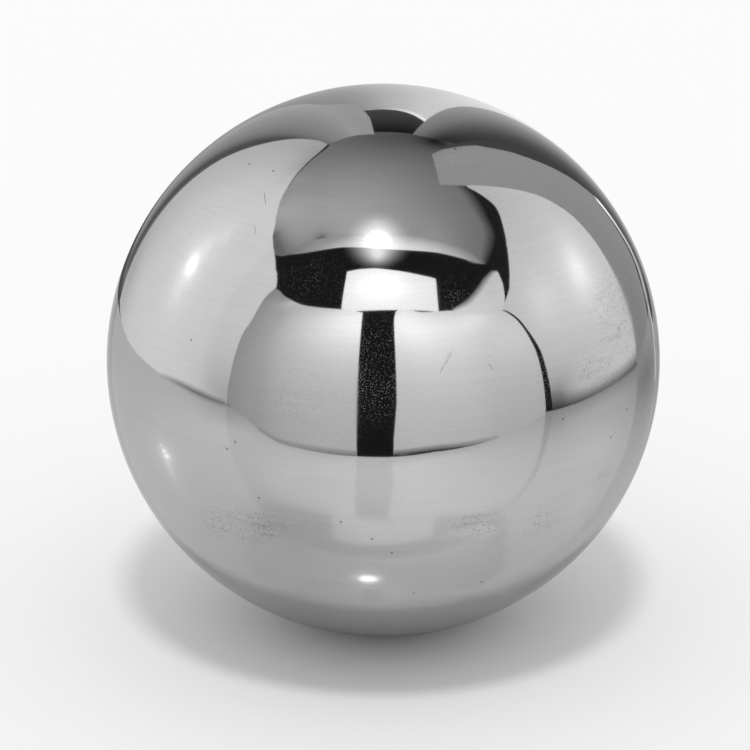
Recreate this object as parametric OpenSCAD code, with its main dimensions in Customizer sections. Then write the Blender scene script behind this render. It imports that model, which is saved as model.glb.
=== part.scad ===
// Polished steel ball: one solid sphere, ground and lapped all over, with no
// seam, flat, hole or mark. The origin is at the centre of the ball and +Z is
// up, so the ball touches what it lies on at [0, 0, -ball_d / 2].

/* [Ball] */
// Diameter of the ball
ball_d = 50; // [1:0.5:150]

/* [Hidden] */
// Colour of the polished steel
steel_grey = [0.74, 0.74, 0.74];
// Facets round the equator of the ball
ball_facets = 180;

// The ball is steel right through: nothing is inside it or fixed to it.
module ball() {
    color(steel_grey)
        sphere(d = ball_d, $fn = ball_facets);
}

ball();
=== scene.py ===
import math

import bmesh
import bpy
from mathutils import Matrix, Vector, noise


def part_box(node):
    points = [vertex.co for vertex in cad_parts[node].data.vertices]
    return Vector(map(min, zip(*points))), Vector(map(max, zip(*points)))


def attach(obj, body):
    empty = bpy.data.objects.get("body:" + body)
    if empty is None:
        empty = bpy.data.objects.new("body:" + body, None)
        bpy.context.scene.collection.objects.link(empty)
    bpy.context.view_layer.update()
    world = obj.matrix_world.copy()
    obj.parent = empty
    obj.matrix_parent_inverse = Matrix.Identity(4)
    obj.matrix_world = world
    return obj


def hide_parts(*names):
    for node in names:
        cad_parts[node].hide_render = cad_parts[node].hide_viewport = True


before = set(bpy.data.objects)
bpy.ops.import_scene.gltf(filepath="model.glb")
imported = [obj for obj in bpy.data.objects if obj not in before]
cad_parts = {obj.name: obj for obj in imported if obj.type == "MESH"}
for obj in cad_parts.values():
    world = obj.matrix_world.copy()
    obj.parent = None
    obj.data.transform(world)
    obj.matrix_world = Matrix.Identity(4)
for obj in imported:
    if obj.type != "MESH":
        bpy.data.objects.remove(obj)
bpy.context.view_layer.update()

# View. The camera stands ten ball radii from the ball and looks down on it by 20 degrees.
# The lens is chosen so that the ball fills the same part of a square frame as in the
# photograph, and the aim puts it a little right of the middle and above it.
ball_low, ball_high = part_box("ball")
ball_radius = (ball_high.z - ball_low.z) / 2
frame_px = 750
ball_px = Vector((383.2, 360.2))
ball_radius_px = 276.6
view_height = math.radians(20)
view_distance = 10 * ball_radius
clip_near = ball_radius / 10
clip_far = ball_radius * 400
sensor_width = 36

px_slope = ball_radius / math.sqrt(view_distance**2 - ball_radius**2) / ball_radius_px
towards_camera = Vector((0, -math.cos(view_height), math.sin(view_height)))
view_right = Vector((1, 0, 0))
view_up = towards_camera.cross(view_right)
camera_place = towards_camera * view_distance
aim_px = Vector((frame_px / 2, frame_px / 2)) - ball_px
aim = (view_right * aim_px.x - view_up * aim_px.y) * px_slope * view_distance

camera = bpy.data.objects.new("camera", bpy.data.cameras.new("camera"))
camera.data.sensor_width = sensor_width
camera.data.lens = sensor_width / (frame_px * px_slope)
camera.data.clip_start = clip_near
camera.data.clip_end = clip_far
camera.location = camera_place
camera.rotation_mode = "QUATERNION"
camera.rotation_quaternion = (aim - camera_place).to_track_quat("-Z", "Y")
bpy.context.scene.collection.objects.link(camera)
bpy.context.scene.camera = camera
bpy.context.scene.view_settings.view_transform = "Standard"

# Ball. One solid sphere of hardened steel, ground and lapped between plates and then buffed to a
# mirror, with nothing fixed to it. Lapping left shallow waves and fine lines in it, and handling
# left cloudy patches, dark specks, pale dust, pits and hairline scratches. The pits are rougher and
# carry painted shade for their hollows. Lengths are in metres.
panel_squares = 100
panel_margin = 0.01
panel_columns = 3
panel_rows = 2
wave_depth = 0.000010
wave_length = 0.006
steel_grey = 0.57
polish = 0.04
line_length = 0.012
line_width = 0.00028
line_swing = 0.1
streak_detail = 4
cloud_size = 0.007
cloud_detail = 3
cloud_swing = 0.1
cloud_dulling = 0.03
grain_size = 0.00016
grain_detail = 1
grain_swing = 0.06
speck_gain = 7
speck_start = 4
speck_share = 0.2
speck_shade = 0.45
smear_length = 0.003
smear_width = 0.0005
smear_gain = 4
smear_start = 2
smear_shade = 0.2
smudge_spread = 2
smudge_dulling = 0.1
dust_spacing = 0.00013
dust_size = 0.000026
dust_least = 0.5
dust_gain = 1.5
dust_cover = 0.3
dust_dulling = 0.12
spot_gain = 3
pit_spacing = 0.0026
pit_size = 0.00007
pit_half_width_px = 1.6
pit_painted_shade = 0.55
pit_dulling = 0.1
scratch_depth = 0.00001
scratch_shade = 0.24
scratch_dulling = 0.25
mark_gain = 2

# Marks that show in the photograph, by their pixels there. A scratch has two ends and a half
# width, a smudge its middle, half width, half height and strength, and a dusty patch two ends,
# its reach and its strength.
scratches_px = [
    ((454, 351), (442, 368), 0.6),
    ((443, 367), (440, 373), 0.6),
    ((487, 363), (494, 370), 0.6),
    ((264, 191), (266, 205), 0.6),
    ((255, 225), (256, 236), 0.5),
    ((452, 350), (445, 360), 0.5),
    ((449, 360), (440, 370), 0.5),
    ((490, 364), (492, 371), 0.5),
]
pits_px = [
    (227, 449), (235, 442), (259, 498), (341, 522), (590, 396), (611, 437), (482, 582), (414, 593),
    (392, 553), (372, 539), (563, 419), (627, 409), (273, 171), (191, 340), (249, 164), (455, 149),
    (619, 328),
]
smudges_px = [
    ((243, 525), 52, 14, 2.0),
    ((476, 526), 34, 11, 1.5),
    ((541, 521), 22, 14, 1.1),
    ((601, 474), 14, 8, 0.9),
    ((598, 368), 38, 16, 1.0),
    ((616, 316), 13, 32, 1.4),
    ((300, 400), 60, 26, 0.55),
    ((207, 222), 34, 24, 0.5),
    ((150, 335), 30, 22, 0.4),
]
dusty_px = [
    ((377, 335), (376, 405), 34, 1.8),
    ((300, 278), (340, 275), 34, 1.0),
    ((448, 298), (462, 290), 24, 0.9),
    ((540, 360), (549, 395), 20, 1.2),
]


def lapped_place(cube_point):
    """Moves a point of a cube onto the lapped ball, which nowhere rises over the true sphere."""
    direction = Vector([math.tan(c * math.pi / 4) for c in cube_point]).normalized()
    wave = noise.noise(direction * ball_radius / wave_length, noise_basis="PERLIN_NEW")
    return direction * (ball_radius - wave_depth * (1 - wave) / 2)


def on_ball(px):
    """The place on the ball that shows at a pixel of the photograph."""
    offset = Vector(px) - ball_px
    ray = (view_right * offset.x - view_up * offset.y) * px_slope - towards_camera
    ray.normalize()
    along = camera_place.dot(ray)
    reach = along**2 - view_distance**2 + ball_radius**2
    return camera_place - ray * (along + math.sqrt(max(reach, 0)))


def add(tree, kind, inputs, **settings):
    """Adds a node, makes its settings, and sets or links its inputs. Gives its first output."""
    node = tree.nodes.new(kind)
    for name, value in settings.items():
        setattr(node, name, value)
    for name, value in inputs.items():
        if isinstance(value, bpy.types.NodeSocket):
            tree.links.new(value, node.inputs[name])
        else:
            node.inputs[name].default_value = value
    return node.outputs[0] if node.outputs else None


def calc(tree, operation, first, second=0.0, third=0.0, clamp=False):
    """Works one value out from two or three others."""
    inputs = {0: first, 1: second, 2: third}
    return add(tree, "ShaderNodeMath", inputs, operation=operation, use_clamp=clamp)


def streaks(tree, place, length, width):
    """Level streaks round the ball, of a given length and width."""
    stretch = (1 / length, 1 / length, 1 / width)
    streak_place = add(tree, "ShaderNodeVectorMath", {0: place, 1: stretch}, operation="MULTIPLY")
    inputs = {"Vector": streak_place, "Scale": 1, "Detail": streak_detail}
    return add(tree, "ShaderNodeTexNoise", inputs)


def blotches(tree, place, size, detail):
    """Uneven blotches of a given size, the same every way."""
    inputs = {"Vector": place, "Scale": 1 / size, "Detail": detail}
    return add(tree, "ShaderNodeTexNoise", inputs)


def spots(tree, place, spacing, size, growth):
    """Round spots strewn about the ball, one for each cell of a given spacing, sized by the growth."""
    cells = add(tree, "ShaderNodeTexVoronoi", {"Vector": place, "Scale": 1 / spacing})
    edge = calc(tree, "MULTIPLY", growth, size / spacing)
    inside = calc(tree, "SUBTRACT", edge, cells)
    return calc(tree, "MULTIPLY", inside, spot_gain * spacing / size, clamp=True)


def mark(tree, place, start, end, half_width):
    """A mark from one place on the ball to another, full along its middle and fading to its edge."""
    run = end - start
    turn = run.to_track_quat("X", "Z").to_euler() if run.length > 0 else (0, 0, 0)
    half_length = run.length / 2 + half_width
    inputs = {
        "Vector": place,
        "Location": (start + end) / 2,
        "Rotation": turn,
        "Scale": (half_length, half_width, half_width),
    }
    local = add(tree, "ShaderNodeMapping", inputs, vector_type="TEXTURE")
    gradient = tree.nodes.new("ShaderNodeTexGradient")
    gradient.gradient_type = "SPHERICAL"
    tree.links.new(local, gradient.inputs["Vector"])
    return gradient.outputs["Fac"]


def together(tree, masks):
    """The greatest of several marks."""
    total = masks[0]
    for mask in masks[1:]:
        total = calc(tree, "MAXIMUM", total, mask)
    return total


bm = bmesh.new()
bmesh.ops.create_cube(bm, size=2)
bmesh.ops.subdivide_edges(bm, edges=bm.edges[:], cuts=panel_squares - 1, use_grid_fill=True)
bm.normal_update()
panel_map = bm.loops.layers.uv.new("OFBake")
for face in bm.faces:
    axis = max(range(3), key=lambda i: abs(face.normal[i]))
    row = int(face.normal[axis] > 0)
    for loop in face.loops:
        in_panel = [(c + 1) / 2 for i, c in enumerate(loop.vert.co) if i != axis]
        across, up = [panel_margin + c * (1 - 2 * panel_margin) for c in in_panel]
        loop[panel_map].uv = ((axis + across) / panel_columns, (row + up) / panel_rows)
    face.smooth = True
for vert in bm.verts:
    vert.co = lapped_place(vert.co)
ball_mesh = bpy.data.meshes.new("polished_ball")
bm.to_mesh(ball_mesh)
bm.free()
ball = bpy.data.objects.new("polished_ball", ball_mesh)
bpy.context.scene.collection.objects.link(ball)
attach(ball, "root")
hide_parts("ball")

steel = bpy.data.materials.new("polished_steel")
steel.use_nodes = True
tree = steel.node_tree
shader = tree.nodes["Principled BSDF"]
place = tree.nodes.new("ShaderNodeTexCoord").outputs["Object"]
px_size = ball_radius / ball_radius_px
lines = streaks(tree, place, line_length, line_width)
smears = streaks(tree, place, smear_length, smear_width)
cloud = blotches(tree, place, cloud_size, cloud_detail)
grain = blotches(tree, place, grain_size, grain_detail)

smudges = []
for centre_px, wide, high, strength in smudges_px:
    side = Vector((max(wide - high, 0), 0))
    start = on_ball(Vector(centre_px) - side)
    end = on_ball(Vector(centre_px) + side)
    patch = mark(tree, place, start, end, smudge_spread * high * px_size)
    smudges.append(calc(tree, "MULTIPLY", patch, strength))
smudge = calc(tree, "MINIMUM", together(tree, smudges), 1.0)
specks = calc(tree, "MULTIPLY_ADD", grain, speck_gain, -speck_start, clamp=True)
specks = calc(tree, "MULTIPLY", specks, calc(tree, "MAXIMUM", smudge, speck_share))
smears = calc(tree, "MULTIPLY_ADD", smears, smear_gain, -smear_start, clamp=True)
smears = calc(tree, "MULTIPLY", smears, calc(tree, "MULTIPLY", smudge, smudge))

patches = []
for start_px, end_px, reach, strength in dusty_px:
    patch = mark(tree, place, on_ball(start_px), on_ball(end_px), reach * px_size)
    patches.append(calc(tree, "MULTIPLY", patch, strength))
dusty = calc(tree, "MINIMUM", together(tree, patches), 1.0)
growth = calc(tree, "MULTIPLY_ADD", calc(tree, "MULTIPLY", dusty, cloud), dust_gain, dust_least)
dust = spots(tree, place, dust_spacing, dust_size, growth)

# Pits: rougher steel, darkened with painted shade for their hollows.
strewn_pits = spots(tree, place, pit_spacing, pit_size, cloud)
pit_half_width = pit_half_width_px * px_size
placed_pits = [mark(tree, place, on_ball(px), on_ball(px), pit_half_width) for px in pits_px]
placed_pits = calc(tree, "MULTIPLY", together(tree, placed_pits), mark_gain, clamp=True)
pits = together(tree, [strewn_pits, placed_pits])
scratches = [
    mark(tree, place, on_ball(start), on_ball(end), half_width * px_size)
    for start, end, half_width in scratches_px
]
scratches = calc(tree, "MULTIPLY", together(tree, scratches), mark_gain, clamp=True)

shade = calc(tree, "MULTIPLY_ADD", lines, line_swing, -line_swing / 2)
for texture, swing in ((grain, grain_swing), (cloud, cloud_swing)):
    shade = calc(tree, "ADD", shade, calc(tree, "MULTIPLY_ADD", texture, swing, -swing / 2))
for dark_mark, darkening in (
    (specks, speck_shade),
    (smears, smear_shade),
    (pits, pit_painted_shade),
    (scratches, scratch_shade),
):
    shade = calc(tree, "MULTIPLY_ADD", dark_mark, -darkening, shade)
grey = calc(tree, "MULTIPLY_ADD", shade, steel_grey, steel_grey)
rough = calc(tree, "MULTIPLY_ADD", cloud, cloud_dulling, polish - cloud_dulling / 2)
for dull_mark, dulling in (
    (smudge, smudge_dulling),
    (pits, pit_dulling),
    (scratches, scratch_dulling),
    (dust, dust_dulling),
):
    rough = calc(tree, "MULTIPLY_ADD", dull_mark, dulling, rough)
bare = calc(tree, "MULTIPLY_ADD", dust, -dust_cover, 1.0)
relief = calc(tree, "MULTIPLY", scratches, -1.0)
bump = add(tree, "ShaderNodeBump", {"Height": relief, "Distance": scratch_depth})
tree.links.new(grey, shader.inputs["Base Color"])
tree.links.new(rough, shader.inputs["Roughness"])
tree.links.new(bare, shader.inputs["Metallic"])
tree.links.new(bump, shader.inputs["Normal"])
ball_mesh.materials.append(steel)

# Floor. A plain pale sheet, cut round and wide enough to fill every view. It is matt, the ball
# lies on it, and it takes the ball's shadow.
floor_radius = 3.0
floor_sides = 96
floor_colour = (0.93, 0.93, 0.93, 1)

bm = bmesh.new()
bmesh.ops.create_circle(bm, cap_ends=True, segments=floor_sides, radius=floor_radius)
bmesh.ops.translate(bm, verts=bm.verts[:], vec=(0, 0, -ball_radius))
floor_mesh = bpy.data.meshes.new("floor")
bm.to_mesh(floor_mesh)
bm.free()
floor_paint = bpy.data.materials.new("pale_floor")
floor_paint.use_nodes = True
tree = floor_paint.node_tree
tree.nodes.clear()
matt = add(tree, "ShaderNodeBsdfDiffuse", {"Color": floor_colour})
add(tree, "ShaderNodeOutputMaterial", {"Surface": matt})
floor_mesh.materials.append(floor_paint)
floor = bpy.data.objects.new("floor", floor_mesh)
bpy.context.scene.collection.objects.link(floor)

# Front cards. Two bent sheets of white card stand before the ball with a slot between them, and
# a wing is folded up from the right one. They lean back, and their feet are in painted shade.
# Like all the set, they show in the ball alone: they throw no shadow and the camera looks through
# them. No lamp lights the set: each card glows with painted light, its pools and shade painted on.
darkest = 0.013
glance_steps = 20
run_steps = 6


def set_place(across, ahead, up):
    """A place in the set, in ball radii: to the right, towards the camera, and up from the floor."""
    return Vector((across, -ahead, up - 1)) * ball_radius


def distance_from(tree, spot):
    """The distance of what is shaded from a place in the set."""
    place = tree.nodes.new("ShaderNodeTexCoord").outputs["Object"]
    away = tree.nodes.new("ShaderNodeVectorMath")
    away.operation = "DISTANCE"
    tree.links.new(place, away.inputs[0])
    away.inputs[1].default_value = set_place(*spot)
    return away.outputs["Value"]


def painted_light_paper(name, pools):
    """Paper glowing with painted light as bright as its light layer, 1 is white, and painted pools of
    light and shade: place, reach and strength.
    """
    paper = bpy.data.materials.new(name)
    paper.use_nodes = True
    paper.cycles.emission_sampling = "NONE"
    tree = paper.node_tree
    tree.nodes.clear()
    layer = tree.nodes.new("ShaderNodeAttribute")
    layer.attribute_name = "light"
    light = layer.outputs["Fac"]
    for spot, reach, strength in pools:
        share = calc(tree, "DIVIDE", distance_from(tree, spot), reach * ball_radius)
        share = calc(tree, "MULTIPLY_ADD", share, share, 1.0)
        light = calc(tree, "ADD", light, calc(tree, "DIVIDE", strength, share))
    light = calc(tree, "MAXIMUM", light, darkest)
    glow = add(tree, "ShaderNodeEmission", {"Strength": light})
    add(tree, "ShaderNodeOutputMaterial", {"Surface": glow})
    return paper


def mirrored_only(name, bm, paper):
    """Makes a stage piece that shows in the ball and nowhere else."""
    mesh = bpy.data.meshes.new(name)
    bm.to_mesh(mesh)
    bm.free()
    mesh.materials.append(paper)
    piece = bpy.data.objects.new(name, mesh)
    piece.visible_camera = False
    piece.visible_diffuse = False
    piece.visible_transmission = False
    piece.visible_shadow = False
    bpy.context.scene.collection.objects.link(piece)
    return piece


def smooth_run(rows):
    """Draws rows of numbers out into a smooth run that passes through each of them."""
    last = len(rows) - 1
    run = []
    for i in range(last):
        near = [rows[min(max(j, 0), last)] for j in range(i - 1, i + 3)]
        for step in range(run_steps):
            t = step / run_steps
            run.append([
                b + t * (c - a + t * (2 * a - 5 * b + 4 * c - d + t * (3 * (b - c) + d - a))) / 2
                for a, b, c, d in zip(*near)
            ])
    return run + [list(rows[last])]


def glance(place):
    """The point of the ball in which the camera sees a place mirrored."""
    point = Vector((0, 0, 0))
    for step in range(glance_steps):
        towards_place = (place - point).normalized()
        point = ball_radius * ((camera_place - point).normalized() + towards_place).normalized()
    return point


def standing_card(name, stations, pools=(), leans=None):
    """A bent card. Each station has its place, low and high edge, and light, or low and high light.

    A lean over 1 moves the high edge outwards along the line on which the ball mirrors it.
    """
    leans = leans or [1] * len(stations)
    run = smooth_run([(lean, *station) for lean, station in zip(leans, stations)])
    last = len(run) - 1
    bm = bmesh.new()
    bmesh.ops.create_grid(bm, x_segments=last, y_segments=1, size=1)
    layer = bm.verts.layers.float.new("light")
    for vert in bm.verts:
        lean, across, ahead, low, high, *light = run[round((vert.co.x + 1) / 2 * last)]
        top = vert.co.y > 0
        vert[layer] = light[-1] if top else light[0]
        vert.co = set_place(across, ahead, high if top else low)
        if top:
            vert.co = glance(vert.co).lerp(vert.co, lean)
    return mirrored_only(name, bm, painted_light_paper(name + "_paper", pools))


standing_card(
    "front_left_card",
    [
        (-0.62, 3.92, 0, 3.95, 0.42),
        (-1.33, 3.82, 0, 4.05, 0.42),
        (-2.03, 3.72, 0, 4.13, 0.4),
        (-2.8, 3.62, 0, 4.33, 0.36),
        (-4.07, 3.97, 0, 5.26, 0.28),
        (-5.12, 4.3, 0, 6.13, 0.28),
        (-6.23, 4.62, 0, 7.11, 0.28),
        (-9.6, 5.2, 0, 9.5, 0.28),
    ],
    [((-1.2, 8.0, 6.0), 4.0, 0.95), ((-1.6, 10.0, 9.0), 3.0, 0.5), ((-9.0, 9.0, 10.5), 1.5, 0.3)],
    [3.05, 3.05, 3.05, 3.0, 2.8, 2.5, 2.2, 1.6],
)
standing_card(
    "front_right_card",
    [
        (0.25, 3.95, 0.05, 0.5, 0.46),
        (0.31, 3.95, 0.05, 1.3, 0.46),
        (0.36, 3.95, 0.05, 2.2, 0.46),
        (0.39, 3.95, 0.05, 4.0, 0.46),
        (1.3, 4.03, 0.05, 4.1, 0.46),
        (2.3, 3.82, 0.02, 4.13, 0.45),
        (3.2, 3.6, 0, 4.15, 0.4),
        (4.37, 3.35, 0, 4.2, 0.4),
        (5.1, 3.33, 0, 4.07, 0.4),
        (5.6, 3.31, 0, 3.72, 0.4),
        (6.0, 3.3, 0, 3.12, 0.4),
        (6.25, 3.29, 0, 2.5, 0.4),
        (6.32, 3.285, 0, 1.6, 0.4),
        (6.38, 3.28, 0, 0.73, 0.4),
        (6.47, 3.28, 0, 0.05, 0.4),
    ],
    [
        ((1.2, 8.0, 6.0), 4.0, 0.9),
        ((1.7, 10.0, 9.0), 3.0, 0.4),
        ((6.0, 6.8, 6.3), 1.8, 0.4),
        ((6.3, 4.0, 3.5), 2.0, 0.3),
    ],
    [1, 1.5, 2, 3.05, 3.0, 2.7, 2.2, 1.6, 1.3, 1.2, 1.1, 1, 1, 1, 1],
)
# The wing is painted with more light than the card it folds from.
standing_card(
    "front_right_wing",
    [
        (2.32, 3.86, 4.0, 4.1, 1.12, 1.1),
        (3.08, 3.69, 4.0, 4.4, 1.1, 1.05),
        (3.97, 3.48, 4.0, 5.2, 1.03, 0.98),
        (4.37, 3.4, 4.12, 5.62, 1.0, 0.94),
        (5.22, 3.34, 5.0, 6.45, 1.0, 0.92),
        (5.75, 3.3, 5.85, 6.98, 0.95, 0.9),
        (6.11, 3.29, 6.48, 7.3, 0.92, 0.9),
        (6.55, 3.28, 7.6, 7.66, 0.9, 0.9),
    ],
)
# A strip over the wing's top edge, painted from the wing's light below to dark above.
standing_card(
    "front_right_wing_edge",
    [
        (2.32, 3.85, 4.09, 4.24, 1.15, 0.02),
        (3.08, 3.68, 4.38, 4.76, 1.1, 0.02),
        (3.97, 3.47, 5.17, 5.62, 1.0, 0.02),
        (4.37, 3.39, 5.59, 6.06, 0.95, 0.02),
        (5.22, 3.33, 6.42, 6.86, 0.92, 0.02),
        (5.75, 3.29, 6.95, 7.32, 0.9, 0.02),
        (6.11, 3.28, 7.28, 7.52, 0.9, 0.02),
        (6.5, 3.27, 7.55, 7.68, 0.9, 0.02),
    ],
)
# A strip of painted shade along the left card's foot, darkest at the bottom.
standing_card(
    "front_left_card_foot_shade",
    [
        (-0.63, 3.91, 0, 0.18, 0.22, 0.6),
        (-1.33, 3.81, 0, 0.18, 0.3, 0.6),
        (-2.03, 3.71, 0, 0.16, 0.36, 0.56),
        (-2.8, 3.61, 0, 0.14, 0.4, 0.5),
        (-4.15, 3.93, 0, 0.12, 0.42, 0.45),
    ],
)
# A strip of painted shade along the right card's foot, darkest at the bottom near the slot.
standing_card(
    "front_right_card_foot_shade",
    [
        (0.26, 3.94, 0.05, 0.2, 0.05, 0.6),
        (1.3, 4.02, 0.05, 0.2, 0.1, 0.62),
        (2.3, 3.81, 0.02, 0.16, 0.3, 0.62),
        (3.2, 3.59, 0, 0.12, 0.58, 0.6),
    ],
)

# Side cards. White card bent into an arc stands to the left of the ball and to its right, with a
# taller grey sheet behind the right one. Thin lines are painted along their cut edges, one of light
# and one of shade, and painted pools of light stand for the bright spots that lamps outside the set
# make on them, with painted shade at their corners and feet.


def flat_card(name, outline, light, pools=()):
    """A flat card with a given outline of places and one light all over."""
    bm = bmesh.new()
    layer = bm.verts.layers.float.new("light")
    corners = [bm.verts.new(set_place(*corner)) for corner in outline]
    for corner in corners:
        corner[layer] = light
    bm.faces.new(corners)
    return mirrored_only(name, bm, painted_light_paper(name + "_paper", pools))


standing_card(
    "left_card",
    [
        (-8.59, 5.78, 9.3, 9.35, 1.0),
        (-8.68, 5.54, 8.5, 9.85, 1.0),
        (-8.76, 5.35, 7.6, 10.15, 1.0),
        (-8.79, 5.28, 6.1, 10.2, 1.0),
        (-8.83, 5.18, 5.4, 10.4, 1.0),
        (-8.9, 5.0, 4.6, 10.6, 1.0),
        (-8.94, 4.92, 3.0, 10.7, 1.0),
        (-8.96, 4.86, 1.0, 10.75, 1.0),
        (-8.99, 4.78, 0, 10.75, 1.0),
        (-9.3, 3.98, 0, 11.7, 1.0),
        (-9.6, 3.2, 0, 12.4, 1.0),
        (-9.9, 2.4, 0, 13.1, 1.05),
        (-10.2, 1.7, 0, 13.9, 1.05),
        (-10.35, 1.0, 0, 14.7, 1.05),
        (-10.2, 0.2, 0, 15.1, 1.05),
        (-9.85, -0.4, 0, 14.95, 1.05),
        (-9.4, -1.0, 0, 14.8, 1.05),
        (-8.5, -2.2, 0, 14.4, 1.05),
        (-7.5, -3.3, 0, 14.2, 1.02),
        (-6.5, -4.15, 0, 13.75, 0.98),
        (-5.5, -4.9, 0, 13.35, 0.88),
        (-4.3, -5.6, 0, 12.75, 0.76),
        (-4.1, -5.72, 1.6, 12.65, 0.74),
        (-3.94, -5.82, 3.6, 12.55, 0.73),
        (-3.8, -5.9, 6.0, 12.45, 0.72),
        (-3.44, -6.1, 8.5, 12.1, 0.7),
        (-3.2, -6.24, 10.5, 11.9, 0.68),
    ],
    # A painted highlight with its glow, and painted shade at the corner by the front card, at the top
    # and at the far foot.
    [
        ((-8.69, -1.86, 4.93), 0.3, 2.5),
        ((-8.8, -1.7, 3.5), 0.6, 0.18),
        ((-8.6, -1.95, 6.3), 0.6, 0.2),
        ((-8.9, -1.6, 8.0), 0.8, 0.16),
        ((-5.0, -5.2, 13.5), 2.2, -0.27),
        ((-9.0, 4.6, 0.5), 2.0, -0.35),
        ((-4.6, -5.4, 0.8), 1.0, -0.2),
    ],
)
# A strip of painted shadow along the left card's top edge at its far end, darkest at the far end.
standing_card(
    "left_card_edge_shadow",
    [
        (-7.47, -3.27, 14.15, 14.4, 0.32),
        (-6.47, -4.12, 13.7, 13.95, 0.22),
        (-5.47, -4.87, 13.3, 13.6, 0.14),
        (-4.27, -5.57, 12.7, 13.0, 0.08),
        (-3.77, -5.87, 12.4, 12.75, 0.04),
        (-3.17, -6.21, 11.85, 12.25, 0.02),
    ],
)
# A strip of painted shade along the left card's foot, darkest at its front end.
standing_card(
    "left_card_foot_shade",
    [
        (-8.98, 4.72, 0, 0.35, 0.2, 0.66),
        (-9.55, 3.15, 0, 0.4, 0.16, 0.8),
        (-9.85, 2.35, 0, 0.4, 0.16, 0.9),
        (-10.25, 1.0, 0, 0.35, 0.3, 1.0),
        (-9.8, -0.2, 0, 0.25, 0.5, 1.05),
        (-9.3, -1.05, 0, 0.2, 0.9, 1.05),
    ],
)
standing_card(
    "right_card",
    [
        (6.31, 4.59, 5.5, 5.53, 0.85),
        (6.33, 4.2, 5.22, 5.65, 0.85),
        (6.36, 3.72, 4.48, 5.82, 0.85),
        (6.37, 3.45, 3.77, 5.95, 0.85),
        (6.39, 3.21, 3.03, 6.08, 0.85),
        (6.39, 3.07, 2.5, 6.22, 0.85),
        (6.4, 3.01, 1.8, 6.27, 0.85),
        (6.4, 2.93, 0.95, 6.35, 0.85),
        (6.4, 2.86, 0.4, 6.41, 0.85),
        (6.41, 2.75, 0, 6.5, 0.85),
        (6.44, 1.79, 0, 7.4, 0.85),
        (6.43, 0.28, 0, 8.64, 0.85),
        (6.06, -0.97, 0, 9.39, 0.85),
        (5.67, -1.59, 0, 10.63, 0.85),
        (5.32, -2.12, 0, 12.1, 0.85),
        (5.17, -2.34, 0, 9.25, 0.85),
        (5.03, -2.55, 0.1, 7.4, 0.85),
        (4.95, -2.68, 2.1, 6.4, 0.85),
        (4.86, -2.82, 3.05, 5.3, 0.85),
        (4.81, -2.89, 3.8, 4.2, 0.85),
    ],
    # A painted highlight and a softer one, with painted shade in the corner at the foot by the front
    # card and at the top.
    [
        ((6.0, -1.05, 3.6), 0.9, 0.7),
        ((6.4, 1.8, 4.3), 1.2, 0.28),
        ((6.4, 2.6, 0.3), 0.8, -0.6),
        ((5.3, -2.1, 11.0), 2.5, -0.1),
    ],
)
# A strip of painted shade along the right card's foot, darkest at the bottom and at the corner with
# the front card.
standing_card(
    "right_card_foot_shade",
    [
        (6.37, 2.85, 0, 0.8, 0.04, 0.38),
        (6.39, 2.3, 0, 0.67, 0.05, 0.41),
        (6.39, 1.79, 0, 0.55, 0.08, 0.57),
        (6.38, 1.0, 0, 0.45, 0.1, 0.73),
        (6.38, 0.28, 0, 0.38, 0.1, 0.8),
        (6.01, -0.95, 0, 0.36, 0.1, 0.85),
        (5.2, -2.2, 0, 0.36, 0.1, 0.85),
        (4.97, -2.54, 0, 0.36, 0.1, 0.8),
    ],
)
standing_card(
    "right_outer_card",
    [
        (6.12, -2.53, 0, 20.3, 0.45),
        (5.2, -3.85, 0, 18.6, 0.46),
        (4.6, -4.68, 0, 17.4, 0.47),
        (4.46, -4.81, 0, 17.1, 0.47),
        (4.28, -4.95, 0.32, 16.7, 0.47),
        (4.1, -5.1, 0.66, 16.2, 0.47),
        (3.96, -5.21, 0.85, 15.8, 0.46),
        (3.92, -5.24, 1.4, 15.7, 0.46),
        (3.85, -5.31, 1.8, 15.55, 0.45),
        (3.79, -5.36, 2.08, 15.5, 0.45),
        (3.64, -5.48, 2.16, 15.1, 0.42),
        (3.44, -5.63, 9.5, 14.6, 0.42),
    ],
    # Painted shade low down near the sheet's foot.
    [((5.0, -4.0, 0), 2.5, -0.12)],
)
flat_card(
    "right_outer_shade",
    [
        (3.4, -5.64, 12.41), (3.55, -5.52, 10.72), (3.62, -5.46, 9.26), (3.68, -5.41, 8.09),
        (3.83, -5.28, 7.41), (3.9, -5.22, 6.64), (3.95, -5.18, 5.87), (4.0, -5.14, 5.34),
        (4.0, -5.14, 4.71), (3.97, -5.17, 4.12), (3.91, -5.22, 3.55), (3.82, -5.29, 2.99),
        (3.74, -5.36, 2.48), (3.62, -5.46, 2.0), (3.55, -5.52, 3.0), (3.52, -5.54, 4.0),
        (3.46, -5.59, 6.5), (3.38, -5.66, 9.4),
    ],
    0.085,
)
# A thin line of painted light along the grey sheet's cut edge low down, brightest near its top.
flat_card(
    "right_outer_lit_edge",
    [
        (3.67, -5.46, 2.16), (3.75, -5.39, 1.95), (3.78, -5.36, 1.6), (3.8, -5.35, 1.2),
        (3.78, -5.37, 0.8), (3.86, -5.3, 0.55), (4.0, -5.18, 0.37), (4.16, -5.04, 0.04),
        (3.81, -5.34, 0.04), (3.68, -5.44, 0.24), (3.56, -5.54, 0.4), (3.52, -5.58, 0.7),
        (3.6, -5.51, 1.1), (3.6, -5.51, 1.5), (3.58, -5.53, 1.85),
    ],
    0.55,
    [((3.7, -5.42, 1.8), 0.45, 1.0)],
)

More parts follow.
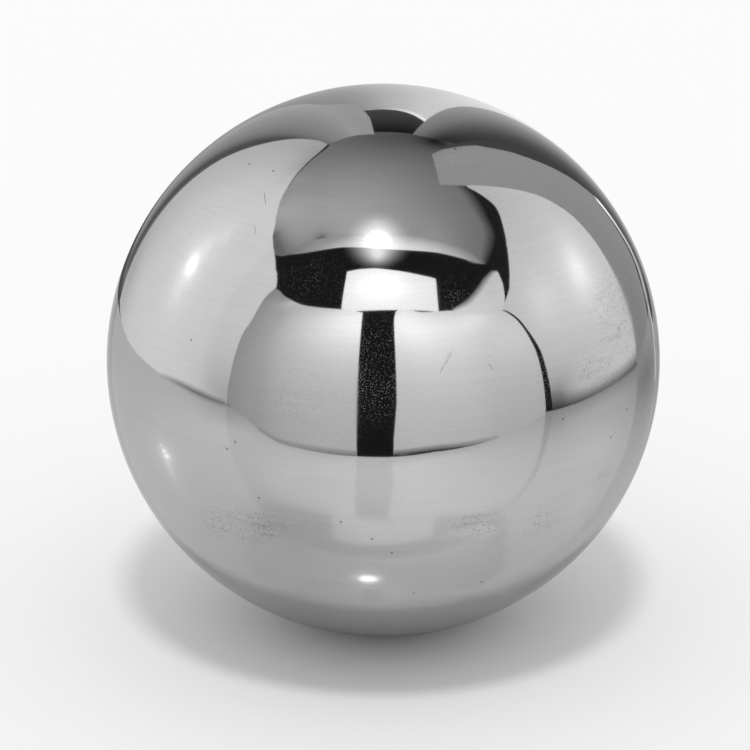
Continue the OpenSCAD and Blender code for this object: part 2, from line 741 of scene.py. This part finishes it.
# Back cards. Three sheets of grey and white card stand behind the ball, and a black cloth hangs
# in the gap between the left and the right one. The middle sheet is low, and a line of painted light
# runs along its top edge. Painted shade darkens the left sheet beside the left card's far end, and
# the right sheet is painted darker upwards and to the right.
standing_card(
    "back_left_card",
    [
        (-9.0, -7.5, 0, 15.0, 0.35),
        (-5.2, -7.5, 0, 14.2, 0.2),
        (-4.6, -7.5, 0, 14.0, 0.12),
        (-4.2, -7.5, 0, 13.9, 0.14),
        (-3.8, -7.5, 0, 13.7, 0.26),
        (-3.2, -7.5, 0, 13.5, 0.36),
        (-2.4, -7.5, 1.0, 13.1, 0.44),
        (-1.7, -7.5, 2.0, 12.9, 0.53),
        (-1.5, -7.5, 4.8, 12.9, 0.52),
        (-1.0, -7.5, 5.8, 13.0, 0.5),
        (-0.75, -7.5, 6.6, 13.0, 0.5),
        (-0.56, -7.5, 9.0, 13.1, 0.5),
    ],
)
standing_card(
    "back_middle_card",
    [
        (-3.5, -7.8, 0, 7.0, 0.3),
        (-1.6, -7.8, 0, 7.4, 0.4),
        (-0.6, -7.8, 0, 7.6, 0.5),
        (0.2, -7.8, 0, 7.5, 0.7),
        (0.9, -7.8, 0, 7.9, 0.85),
        (1.4, -7.8, 0, 8.4, 0.95),
        (2.2, -7.8, 0, 9.2, 0.95),
    ],
)
standing_card(
    "back_right_card",
    [
        (1.75, -7.6, 0, 12.7, 0.6, 0.3),
        (1.9, -7.6, 0, 12.7, 0.58, 0.28),
        (2.4, -7.6, 0, 12.8, 0.5, 0.2),
        (3.3, -7.6, 0, 12.6, 0.32, 0.05),
        (4.6, -7.5, 0, 12.1, 0.12, 0.04),
        (9.0, -7.5, 0, 12.0, 0.06, 0.02),
    ],
)
standing_card(
    "back_middle_edge",
    [
        (-0.3, -7.75, 7.1, 7.35, 0.5),
        (0.06, -7.75, 7.15, 7.5, 0.7),
        (0.56, -7.75, 7.25, 7.65, 1.0),
        (1.13, -7.75, 7.75, 8.2, 1.3),
        (1.95, -7.75, 9.0, 9.5, 1.5),
    ],
)
standing_card(
    "back_dark_cloth",
    [
        (-3, -8.2, 0, 13.4, 0.216, 0.009),
        (3, -8.2, 0, 13.4, 0.216, 0.009),
    ],
)

# Dark studio. Black cloth hangs behind the camera. On the right outside the side cards a dark sheet
# stands for painted shade on the ceiling. The paler strips along the top of both are painted light
# where the light ceiling begins.
standing_card(
    "dark_room",
    [
        (-45, 9, 0, 50, 0.015),
        (-33.2, 12.5, 0, 40.5, 0.015),
        (-24.9, 12.5, 0, 35.6, 0.015),
        (-18.9, 12.5, 0, 32.6, 0.015),
        (-13.2, 12.5, 0, 30.9, 0.015),
        (-8.75, 12.5, 0, 30.1, 0.015),
        (-4.66, 12.5, 0, 28.7, 0.015),
        (1.0, 12.5, 0, 27.1, 0.015),
        (5.4, 12.5, 0, 27.2, 0.015),
        (10.9, 12.5, 0, 28.2, 0.015),
        (16.9, 12.5, 0, 28.6, 0.015),
        (23.2, 12.5, 0, 29.7, 0.015),
        (40.0, 5, 0, 30, 0.015),
    ],
)
# A band of painted light along the top of the black cloth where the ceiling begins, brightest low in
# the middle.
standing_card(
    "ceiling_edge",
    [
        (-24.9, 12.4, 35.5, 44, 0.3, 0.42),
        (-18.9, 12.4, 32.5, 42, 0.45, 0.45),
        (-13.2, 12.4, 30.8, 40, 0.62, 0.48),
        (-8.75, 12.4, 30.0, 39.5, 0.9, 0.5),
        (-4.66, 12.4, 28.6, 38.5, 1.05, 0.52),
        (1.0, 12.4, 27.0, 37.5, 1.2, 0.52),
        (5.4, 12.4, 27.1, 37.5, 1.3, 0.5),
        (10.9, 12.4, 28.1, 38, 1.0, 0.46),
        (16.9, 12.4, 28.5, 38, 0.7, 0.38),
        (23.2, 12.4, 29.6, 36, 0.4, 0.32),
    ],
)
# A dark sheet on the right outside the side cards that stands for painted shade on the ceiling.
standing_card(
    "right_ceiling_shade",
    [
        (7.4, 4.1, 0, 9.8, 0.02),
        (8.3, 1.6, 0, 11.2, 0.02),
        (8.5, 0.0, 0, 13.2, 0.02),
        (8.25, -2.06, 0, 15.4, 0.02),
        (7.7, -3.6, 0, 17.4, 0.02),
    ],
)
# Its top is painted from the shade's dark up to the ceiling's grey.
standing_card(
    "right_ceiling_shade_edge",
    [
        (7.4, 4.1, 9.7, 10.9, 0.02, 0.3),
        (8.3, 1.6, 11.1, 13.3, 0.02, 0.28),
        (8.5, 0.0, 13.1, 16.2, 0.02, 0.28),
        (8.25, -2.06, 15.3, 18.8, 0.02, 0.28),
        (7.7, -3.6, 17.3, 21.0, 0.02, 0.3),
    ],
)

# Softbox. A flat panel of white cloth with a lamp behind it hangs upright over the camera. It
# shows above the front cards, and is brightest in the middle.
softbox_ahead = 10.3
softbox_light = 1.25
softbox_pools = [((-0.2, 10.3, 13.0), 2.5, 0.9)]
softbox_outline = [
    (-3.72, 9.25), (-3.83, 9.83), (-4.3, 16.0), (-2.8, 16.35), (-0.97, 16.39), (1.95, 15.76),
    (4.25, 15.22), (6.1, 14.86), (5.38, 11.1), (5.12, 9.5),
]
softbox_places = [(across, softbox_ahead, up) for across, up in softbox_outline]
flat_card("softbox", softbox_places, softbox_light, softbox_pools)

# Table. The set's own table is a pale polished board, so it mirrors the slot between the front
# cards and the lamp over them. Its matt colour is painted light: pools of light and shade and a
# glint. It ends at the cards, with a painted bright edge at the back on the right, and the studio
# floor beyond it is painted dark, with pools of light at the back.
table_lift = 0.004
table_outline = [
    (-0.64, 3.92), (-2.9, 3.7), (-4.2, 4.1), (-6.5, 4.9), (-9.2, 5.0), (-9.9, 2.4), (-10.4, 1.0),
    (-9.4, -1.0), (-7.5, -3.3), (-5.4, -5.05), (-4.2, -5.2), (-3.2, -4.95), (-2.0, -4.75),
    (-1.2, -5.2), (-0.8, -7.5), (3.3, -7.5), (2.9, -5.2), (2.9, -4.4), (3.1, -3.95), (3.3, -4.2),
    (3.75, -4.85), (4.1, -5.3), (4.46, -4.9), (4.65, -4.7), (5.25, -3.85), (6.1, -2.6),
    (5.67, -1.6), (6.2, -0.75), (6.5, 0.6), (6.45, 3.28), (5.6, 3.31), (4.3, 3.36), (2.3, 3.82),
    (1.3, 4.03), (0.3, 3.95),
]
table_light = 0.57
# Pools of painted light before the front cards and at the sides, painted shade in front of the ball
# and towards the back right, and a painted glint left of the ball.
table_pools = [
    ((0.3, 3.0, 0), 2.6, 0.45),
    ((-4.0, 2.5, 0), 1.5, 0.2),
    ((-0.8, 1.3, 0), 0.6, -0.2),
    ((0, 1.2, 0), 0.4, -0.08),
    ((0, 0.8, 0), 0.2, 0.12),
    ((5.6, -3.2, 0), 0.8, -0.16),
    ((-2.28, 0.22, 0), 0.05, 1.0),
    ((-2.4, 0.16, 0), 0.04, 0.8),
    ((-2.52, 0.09, 0), 0.03, 0.4),
    ((2.6, 0.2, 0), 0.9, 0.16),
    ((3.2, -2.2, 0), 1.5, -0.35),
]
table_roughness = 0.11
table_gloss = 2.1
table_slope = 0.03
# A thin line of painted light at the back on the right of the table.
bright_edge_lift = 0.008
bright_edge_light = 0.7
bright_edge_outline = [
    (4.12, -5.05), (3.74, -4.55), (3.38, -4.0), (3.2, -3.66), (2.98, -3.22), (2.7, -2.83),
    (2.48, -2.5), (2.3, -2.22), (2.24, -2.28), (2.37, -2.58), (2.58, -2.91), (2.86, -3.3),
    (3.06, -3.74), (3.22, -4.1), (3.58, -4.65), (3.85, -5.3),
]
studio_floor_radius = 60
studio_floor_sides = 64
studio_floor_light = -0.08
# Painted pools of light on the dark studio floor, at the back on the right and on the left.
studio_floor_pools = [((5, -9, 0), 4, 0.32), ((-6, -9, 0), 2.5, 0.5)]

table_places = [(across, ahead, table_lift) for across, ahead in reversed(table_outline)]
table = flat_card("table", table_places, table_light, table_pools)
board = table.data.materials[0]
board.cycles.emission_sampling = "AUTO"
tree = board.node_tree
glow = tree.nodes["Emission"]
light = glow.inputs["Strength"].links[0].from_socket
# The table's matt colour is its painted light, with its pools of light and shade and its glint.
matt = add(tree, "ShaderNodeBsdfDiffuse", {"Color": light})
slope = add(tree, "ShaderNodeCombineXYZ", {"X": table_slope, "Z": 1})
gloss = add(tree, "ShaderNodeBsdfAnisotropic", {"Roughness": table_roughness, "Normal": slope})
fresnel = add(tree, "ShaderNodeFresnel", {"IOR": table_gloss})
polished = add(tree, "ShaderNodeMixShader", {0: fresnel, 1: matt, 2: gloss})
tree.links.new(polished, tree.nodes["Material Output"].inputs["Surface"])
tree.nodes.remove(glow)
bright_edge_places = [(across, ahead, bright_edge_lift) for across, ahead in bright_edge_outline]
flat_card("table_bright_edge", bright_edge_places, bright_edge_light)


def light_all(bm, light):
    """Gives a shape one light all over."""
    layer = bm.verts.layers.float.new("light")
    for vert in bm.verts:
        vert[layer] = light


bm = bmesh.new()
bmesh.ops.create_circle(
    bm, cap_ends=True, segments=studio_floor_sides, radius=studio_floor_radius * ball_radius
)
bmesh.ops.translate(bm, verts=bm.verts[:], vec=set_place(0, 0, table_lift / 2))
light_all(bm, studio_floor_light)
mirrored_only("studio_floor", bm, painted_light_paper("studio_floor_paper", studio_floor_pools))

# Ceiling. A wide white dome of cloth closes the set above, painted as lit unevenly from its left
# front. It has a painted brighter patch, painted shade in a few folds on the left, and painted
# shade over the back cards.
ceiling_radius = 60
ceiling_fineness = 5
ceiling_light = 0.1
ceiling_pools = [
    ((-12, 12, 57), 32, 0.48),
    ((-32, 6, 52), 10, 0.12),
    ((0, -30, 52), 12, -0.1),
    ((20, 20, 55), 9, 0.15),
    ((-33, -4, 51), 8, 0.2),
    ((-26, -17, 52.4), 4, 0.09),
    ((-37, 5, 48), 2.6, -0.25),
    ((-37.2, 9.5, 47.2), 3.2, -0.16),
    ((-36.5, 13.5, 46.8), 3.4, -0.15),
    ((-33.2, 17, 47.9), 2.6, -0.12),
    ((-22.8, 16.4, 54.0), 2.2, -0.4),
    ((13.5, -32.3, 49.7), 5, -0.18),
]

bm = bmesh.new()
bmesh.ops.create_icosphere(bm, subdivisions=ceiling_fineness, radius=ceiling_radius * ball_radius)
light_all(bm, ceiling_light)
mirrored_only("ceiling", bm, painted_light_paper("ceiling_paper", ceiling_pools))

# Lamp. A frosted glass bulb hangs over the front of the ball. A clear disc round it carries the
# soft glow and the streak that so bright a lamp leaves in a photograph.
lamp_place = (-0.12, 1.68, 4.27)
lamp_half_width = 0.23
lamp_half_height = 0.165
lamp_fineness = 3
lamp_light = 20
glow_radius = 0.8
glow_sides = 48
glow_fade = 0.4
glow_pools = [
    (lamp_place, 0.17, 2.4),
    ((-0.12, 2.06, 4.07), 0.22, 1.1),
    ((-0.12, 1.31, 4.46), 0.18, 0.18),
]

lamp_centre = set_place(*lamp_place)
lamp_half_sizes = (lamp_half_width, lamp_half_height, lamp_half_height)
bm = bmesh.new()
bmesh.ops.create_icosphere(bm, subdivisions=lamp_fineness, radius=ball_radius)
bmesh.ops.scale(bm, verts=bm.verts[:], vec=lamp_half_sizes)
bmesh.ops.translate(bm, verts=bm.verts[:], vec=lamp_centre)
light_all(bm, lamp_light)
mirrored_only("lamp", bm, painted_light_paper("lamp_paper", []))

bm = bmesh.new()
bmesh.ops.create_circle(bm, cap_ends=True, segments=glow_sides, radius=glow_radius * ball_radius)
turn = lamp_centre.to_track_quat("Z", "Y").to_matrix().to_4x4()
bmesh.ops.transform(bm, verts=bm.verts[:], matrix=Matrix.Translation(lamp_centre) @ turn)
light_all(bm, 0)
glow_paper = painted_light_paper("lamp_glow_paper", glow_pools)
tree = glow_paper.node_tree
fall_inputs = {
    "Value": distance_from(tree, lamp_place),
    "From Min": glow_radius * ball_radius,
    "From Max": glow_radius * ball_radius * glow_fade,
}
fall = add(tree, "ShaderNodeMapRange", fall_inputs, interpolation_type="SMOOTHSTEP")
glow = tree.nodes["Emission"]
light = calc(tree, "MULTIPLY", glow.inputs["Strength"].links[0].from_socket, fall)
tree.links.new(light, glow.inputs["Strength"])
clear = add(tree, "ShaderNodeBsdfTransparent", {})
both = add(tree, "ShaderNodeAddShader", {0: glow.outputs[0], 1: clear})
tree.links.new(both, tree.nodes["Material Output"].inputs["Surface"])
mirrored_only("lamp_glow", bm, glow_paper)

# Studio light. Even white light from all round, and a soft lamp high in front that gives the
# ball its shadow. Neither shows in the ball.
world_light = 0.8
white = (1, 1, 1, 1)
sun_light = 0.8
sun_angle = math.radians(9)
sun_tilt = math.radians(20)

world = bpy.data.worlds.new("studio")
world.use_nodes = True
tree = world.node_tree
paths = tree.nodes.new("ShaderNodeLightPath").outputs
seen_rays = ("Is Camera Ray", "Is Glossy Ray", "Is Transmission Ray")
seen = together(tree, [paths[name] for name in seen_rays])
strength = calc(tree, "MULTIPLY_ADD", seen, 1 - world_light, world_light)
tree.nodes["Background"].inputs["Color"].default_value = white
tree.links.new(strength, tree.nodes["Background"].inputs["Strength"])
bpy.context.scene.world = world
sun = bpy.data.objects.new("soft_lamp", bpy.data.lights.new("soft_lamp", "SUN"))
sun.data.energy = sun_light
sun.data.angle = sun_angle
sun.rotation_euler = (sun_tilt, 0, 0)
sun.visible_glossy = False
bpy.context.scene.collection.objects.link(sun)
